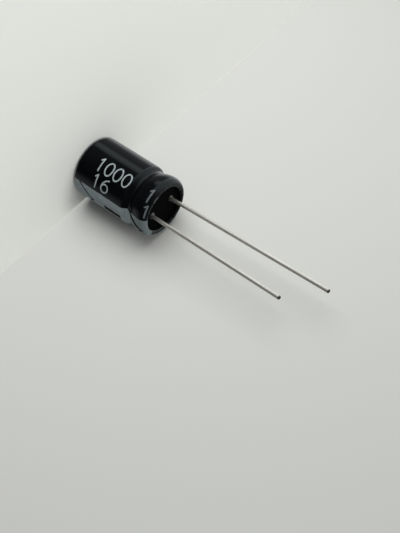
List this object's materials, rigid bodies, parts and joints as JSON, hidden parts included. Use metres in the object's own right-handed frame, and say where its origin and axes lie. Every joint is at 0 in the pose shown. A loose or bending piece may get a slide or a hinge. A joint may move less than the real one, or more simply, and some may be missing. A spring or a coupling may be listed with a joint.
{
  "type": "electrolytic capacitor",
  "caption": "Radial aluminium electrolytic capacitor: sleeved can with crimped rubber seal, wound foil element and two wire leads of unequal length.",
  "frame": {"origin": "middle of the closed end, in the plane that the capacitor stands on", "axes": "+Z along the can's axis from the closed end towards the leads; +X from the axis towards the long positive lead"},
  "size_m": [0.0082, 0.0082, 0.0344],
  "materials": {
    "sleeve_film": "glossy black shrink film",
    "stripe_ink": "light grey printed ink",
    "can_aluminium": "drawn, satin",
    "seal_rubber": "matt black",
    "tinned_wire": "bright tin plating",
    "tab_aluminium": "satin",
    "etched_foil": "etched, dull grey",
    "soaked_paper": "soaked separator paper",
    "plain_foil": "satin foil",
    "winding_tape": "amber film tape"
  },
  "bodies": {
    "root": {"sleeve": "sleeve_film", "polarity_stripe": "stripe_ink", "can": "can_aluminium", "end_seal": "seal_rubber", "positive_wire": "tinned_wire", "negative_wire": "tinned_wire", "positive_tab": "tab_aluminium", "negative_tab": "tab_aluminium", "anode_foil": "etched_foil", "inner_separator": "soaked_paper", "cathode_foil": "plain_foil", "outer_separator": "soaked_paper", "element_tape": "winding_tape"}
  },
  "joints": []
}
